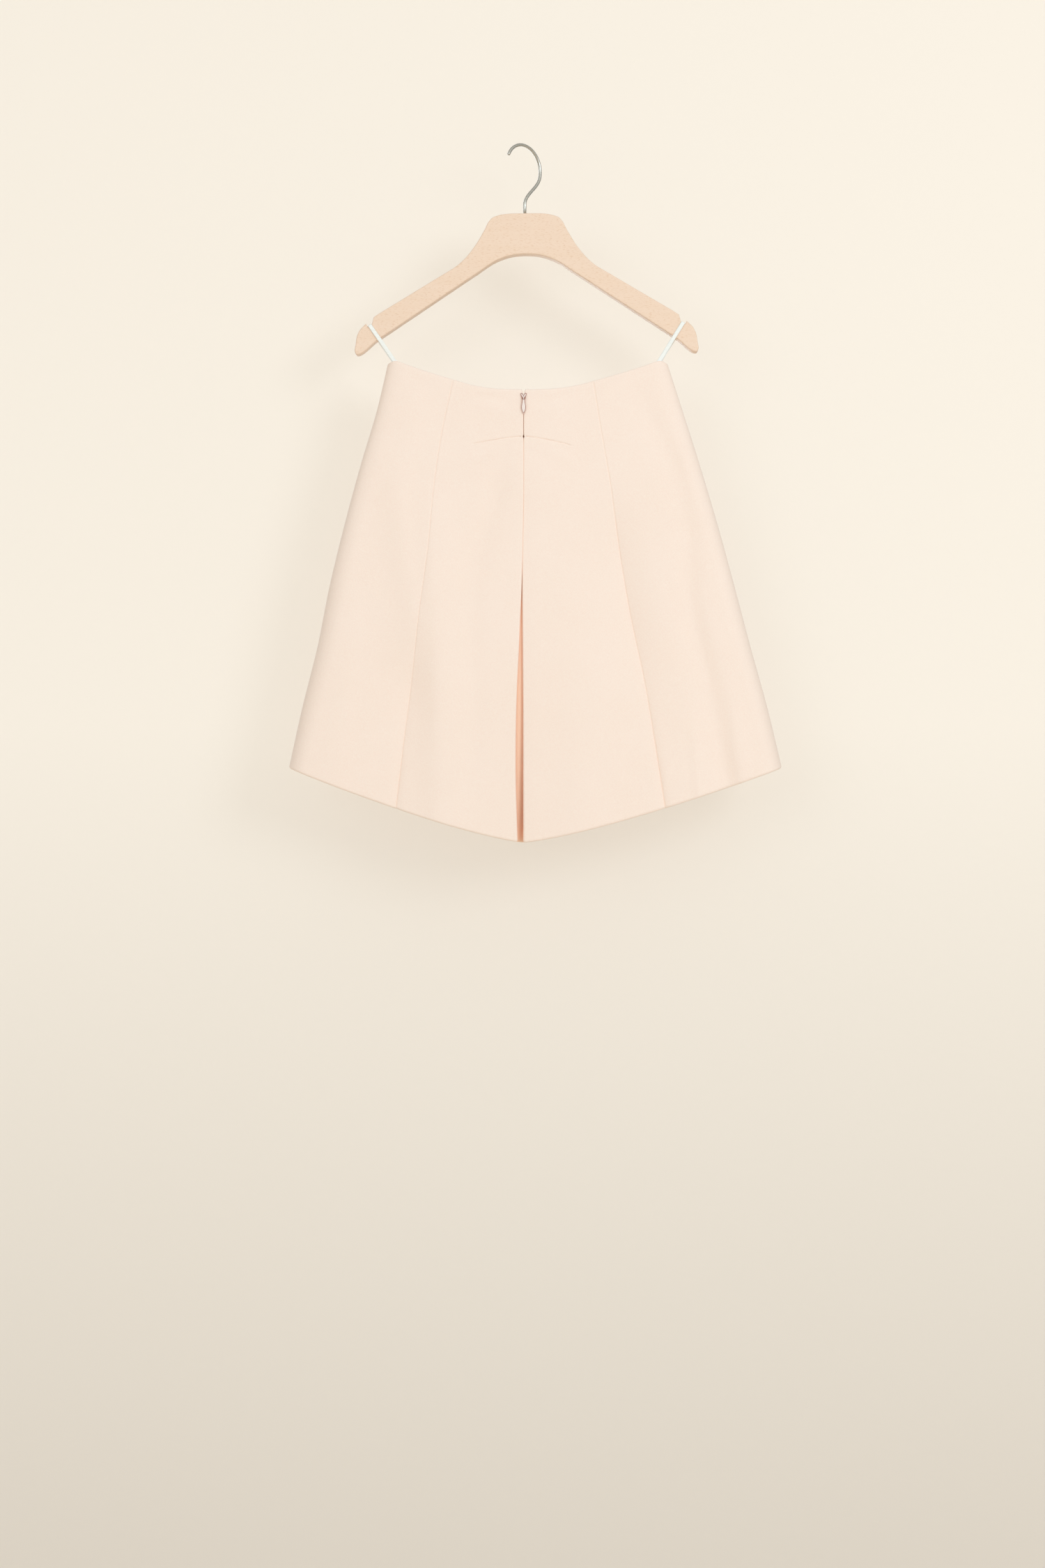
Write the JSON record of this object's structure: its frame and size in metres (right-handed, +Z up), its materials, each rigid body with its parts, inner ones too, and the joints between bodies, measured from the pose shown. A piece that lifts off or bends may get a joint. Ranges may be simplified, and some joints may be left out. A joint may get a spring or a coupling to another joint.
{
  "type": "wool shorts on a wooden hanger",
  "caption": "Flared thick wool shorts with an inverted back pleat and a short back zip, hung by ribbon loops from a wooden hanger with a wire hook.",
  "frame": {"origin": "inner top of the hanger's hook, where it hangs", "axes": "+Z up along the hanging garment, +X to the right seen from the back of the shorts, +Y from the back of the shorts to their front"},
  "size_m": [0.6005, 0.0785, 0.8508],
  "materials": {
    "wool": "thick felted wool with a short soft nap",
    "ribbon": "satin ribbon",
    "zip_tape": "woven tape",
    "zip_coil": "nylon coil",
    "enamel": "satin enamel",
    "beech": "fine sanded beech with a clear matt finish",
    "steel": "satin wire"
  },
  "bodies": {
    "root": {"back_left": "wool", "back_right": "wool", "back_side_left": "wool", "back_side_right": "wool", "front_left": "wool", "front_right": "wool", "zip_tape_left": "zip_tape", "zip_tape_right": "zip_tape", "zip_coil": "zip_coil", "zip_slider": "enamel", "hanger_loop_left": "ribbon", "hanger_loop_right": "ribbon", "hanger": "beech", "hanger_hook": "steel"},
    "zip_pull": {"zip_pull": "enamel"}
  },
  "joints": [
    {"name": "zip_pull_hinge", "type": "hinge", "parent": "root", "child": "zip_pull", "pos_m": [0, -0.01956, -0.3093], "axis": [-1, 0, 0], "range_deg": [0, 170]}
  ]
}
